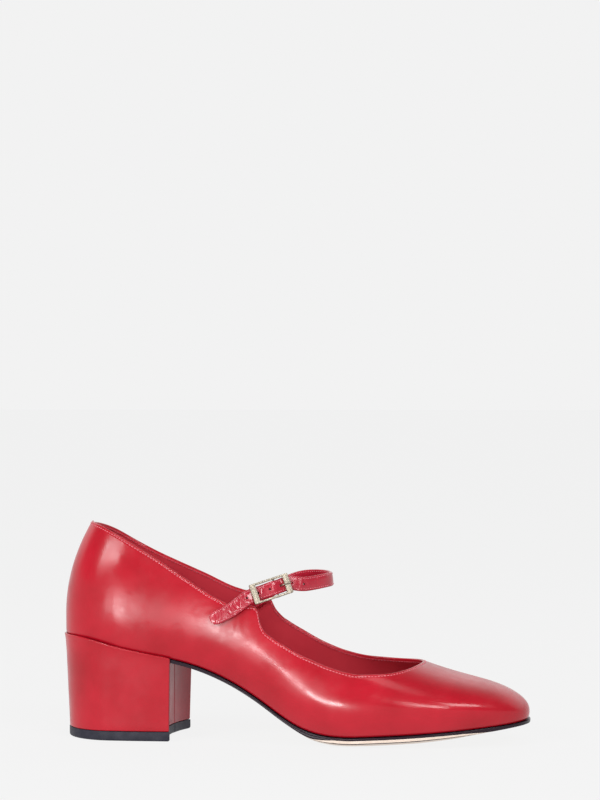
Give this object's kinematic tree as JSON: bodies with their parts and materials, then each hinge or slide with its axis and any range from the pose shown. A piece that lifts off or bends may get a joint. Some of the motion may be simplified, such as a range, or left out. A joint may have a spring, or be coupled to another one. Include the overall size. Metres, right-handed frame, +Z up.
{
  "type": "mary jane shoe",
  "caption": "Hollow leather mary jane shoe with a low topline, round throat, buckled instep strap, thin crowned sole and covered block heel with a hollow breast.",
  "frame": {"origin": "middle of the shoe's footprint, on the floor", "axes": "+X from heel to toe, +Y to the medial side of a right foot, +Z up"},
  "size_m": [0.2428, 0.08, 0.1116],
  "materials": {
    "red_leather": "smooth calf, soft gloss",
    "red_lining": "matt lining leather",
    "sole_leather": "smooth sole leather",
    "top_piece_rubber": "satin",
    "pale_gold": "polished, pale"
  },
  "bodies": {
    "root": {"upper": "red_leather", "insole": "red_lining", "outsole": "sole_leather", "heel": "red_leather", "top_piece": "top_piece_rubber", "strap": "red_leather", "buckle_frame": "pale_gold", "prong": "pale_gold", "buckle_tab": "red_leather"}
  },
  "joints": []
}
